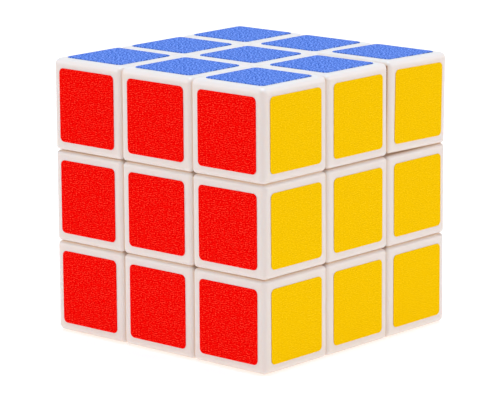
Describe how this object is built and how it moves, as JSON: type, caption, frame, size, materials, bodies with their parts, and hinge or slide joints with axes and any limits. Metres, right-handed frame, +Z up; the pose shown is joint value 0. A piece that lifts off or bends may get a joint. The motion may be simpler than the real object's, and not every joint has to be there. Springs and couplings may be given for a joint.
{
  "type": "twisty puzzle cube",
  "caption": "Three-layer twisty puzzle cube in white plastic with coloured vinyl stickers, sprung centre pieces on a six-armed core, and hooked edge and corner pieces.",
  "frame": {"origin": "centre of the cube, where the three turning axes cross", "axes": "+Z up through the blue face, -Y out of the red face, +X out of the yellow face"},
  "size_m": [0.0574, 0.0574, 0.0574],
  "materials": {
    "white_plastic": "satin moulded plastic",
    "core_plastic": "matt moulded plastic",
    "steel": "bright zinc-plated steel",
    "sticker_blue": "fine-grained matt vinyl",
    "sticker_red": "grained matt vinyl",
    "sticker_yellow": "grained matt vinyl",
    "sticker_green": "grained matt vinyl",
    "sticker_orange": "grained matt vinyl",
    "sticker_black": "grained matt vinyl"
  },
  "bodies": {
    "middle_layer": {"core": "core_plastic", "screws": "steel", "spring_up": "steel", "spring_down": "steel", "spring_front": "steel", "spring_right": "steel", "spring_back": "steel", "spring_left": "steel", "edge_back_right": "white_plastic", "edge_back_left": "white_plastic", "edge_front_left": "white_plastic", "edge_front_right": "white_plastic", "stickers_middle_front": "sticker_red", "stickers_middle_right": "sticker_yellow", "stickers_middle_back": "sticker_orange", "stickers_middle_left": "sticker_black"},
    "upper_layer": {"corner_up_back_right": "white_plastic", "corner_up_back_left": "white_plastic", "corner_up_front_left": "white_plastic", "corner_up_front_right": "white_plastic", "edge_up_back": "white_plastic", "edge_up_left": "white_plastic", "edge_up_front": "white_plastic", "edge_up_right": "white_plastic", "stickers_up": "sticker_blue", "stickers_upper_front": "sticker_red", "stickers_upper_right": "sticker_yellow", "stickers_upper_back": "sticker_orange", "stickers_upper_left": "sticker_black"},
    "lower_layer": {"corner_down_front_right": "white_plastic", "corner_down_back_right": "white_plastic", "corner_down_back_left": "white_plastic", "corner_down_front_left": "white_plastic", "edge_down_front": "white_plastic", "edge_down_right": "white_plastic", "edge_down_back": "white_plastic", "edge_down_left": "white_plastic", "stickers_down": "sticker_green", "stickers_lower_front": "sticker_red", "stickers_lower_right": "sticker_yellow", "stickers_lower_back": "sticker_orange", "stickers_lower_left": "sticker_black"},
    "centre_piece_up": {"centre_up": "white_plastic"},
    "centre_piece_down": {"centre_down": "white_plastic"},
    "centre_piece_front": {"centre_front": "white_plastic"},
    "centre_piece_right": {"centre_right": "white_plastic"},
    "centre_piece_back": {"centre_back": "white_plastic"},
    "centre_piece_left": {"centre_left": "white_plastic"},
    "cap_up": {"centre_cap_up": "white_plastic", "sticker_centre_up": "sticker_blue"},
    "cap_down": {"centre_cap_down": "white_plastic", "sticker_centre_down": "sticker_green"},
    "cap_front": {"centre_cap_front": "white_plastic", "sticker_centre_front": "sticker_red"},
    "cap_right": {"centre_cap_right": "white_plastic", "sticker_centre_right": "sticker_yellow"},
    "cap_back": {"centre_cap_back": "white_plastic", "sticker_centre_back": "sticker_orange"},
    "cap_left": {"centre_cap_left": "white_plastic", "sticker_centre_left": "sticker_black"}
  },
  "joints": [
    {"name": "layer_top_turn", "type": "hinge", "parent": "middle_layer", "child": "upper_layer", "pos_m": [0, 0, 0], "axis": [0, 0, 1], "continuous": true},
    {"name": "layer_bottom_turn", "type": "hinge", "parent": "middle_layer", "child": "lower_layer", "pos_m": [0, 0, 0], "axis": [0, 0, 1], "continuous": true},
    {"name": "pull_centre_up", "type": "slide", "parent": "upper_layer", "child": "centre_piece_up", "axis": [0, 0, 1], "range_m": [0, 0.001], "stiffness_N_per_m": 800, "springref_m": -0.0015, "deforming": ["spring_up"]},
    {"name": "pull_centre_down", "type": "slide", "parent": "lower_layer", "child": "centre_piece_down", "axis": [0, 0, -1], "range_m": [0, 0.001], "stiffness_N_per_m": 800, "springref_m": -0.0015, "deforming": ["spring_down"]},
    {"name": "pull_centre_front", "type": "slide", "parent": "middle_layer", "child": "centre_piece_front", "axis": [0, -1, 0], "range_m": [0, 0.001], "stiffness_N_per_m": 800, "springref_m": -0.0015, "deforming": ["spring_front"]},
    {"name": "pull_centre_right", "type": "slide", "parent": "middle_layer", "child": "centre_piece_right", "axis": [1, 0, 0], "range_m": [0, 0.001], "stiffness_N_per_m": 800, "springref_m": -0.0015, "deforming": ["spring_right"]},
    {"name": "pull_centre_back", "type": "slide", "parent": "middle_layer", "child": "centre_piece_back", "axis": [0, 1, 0], "range_m": [0, 0.001], "stiffness_N_per_m": 800, "springref_m": -0.0015, "deforming": ["spring_back"]},
    {"name": "pull_centre_left", "type": "slide", "parent": "middle_layer", "child": "centre_piece_left", "axis": [-1, 0, 0], "range_m": [0, 0.001], "stiffness_N_per_m": 800, "springref_m": -0.0015, "deforming": ["spring_left"]},
    {"name": "remove_cap_up", "type": "slide", "parent": "centre_piece_up", "child": "cap_up", "axis": [0, 0, 1], "range_m": [0, 0.012]},
    {"name": "remove_cap_down", "type": "slide", "parent": "centre_piece_down", "child": "cap_down", "axis": [0, 0, -1], "range_m": [0, 0.012]},
    {"name": "remove_cap_front", "type": "slide", "parent": "centre_piece_front", "child": "cap_front", "axis": [0, -1, 0], "range_m": [0, 0.012]},
    {"name": "remove_cap_right", "type": "slide", "parent": "centre_piece_right", "child": "cap_right", "axis": [1, 0, 0], "range_m": [0, 0.012]},
    {"name": "remove_cap_back", "type": "slide", "parent": "centre_piece_back", "child": "cap_back", "axis": [0, 1, 0], "range_m": [0, 0.012]},
    {"name": "remove_cap_left", "type": "slide", "parent": "centre_piece_left", "child": "cap_left", "axis": [-1, 0, 0], "range_m": [0, 0.012]}
  ]
}
